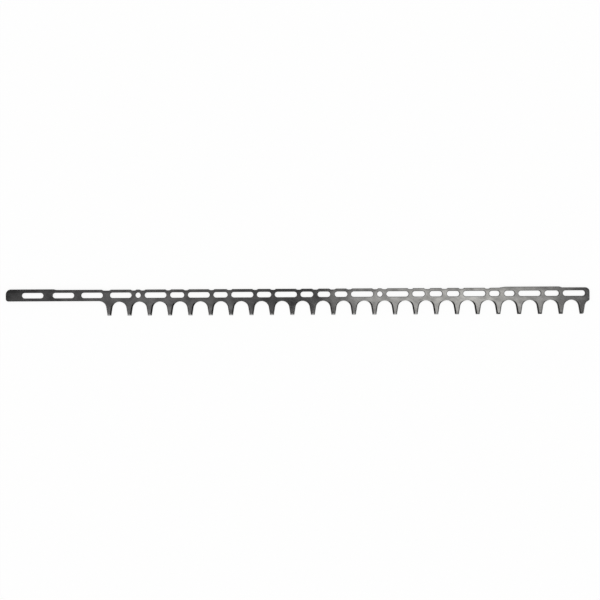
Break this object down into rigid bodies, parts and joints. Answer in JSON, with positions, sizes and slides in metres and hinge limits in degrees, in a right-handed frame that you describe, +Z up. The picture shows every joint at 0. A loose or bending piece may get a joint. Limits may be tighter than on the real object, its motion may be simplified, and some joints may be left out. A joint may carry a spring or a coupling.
{
  "type": "hedge trimmer blade",
  "caption": "Flat steel hedge trimmer blade with ground teeth along one side, a row of guide and lightening slots along its back strip, and round locating holes.",
  "frame": {"origin": "centre of the locating hole nearest the heel, on the mating face", "axes": "+X along the blade towards the nose, +Y towards the toothless back edge with the teeth pointing to -Y, +Z up out of the bevelled face"},
  "size_m": [0.9111, 0.0425, 0.0023],
  "materials": {
    "ground_steel": "ground and oiled spring steel"
  },
  "bodies": {
    "root": {"trimmer_blade": "ground_steel"}
  },
  "joints": []
}
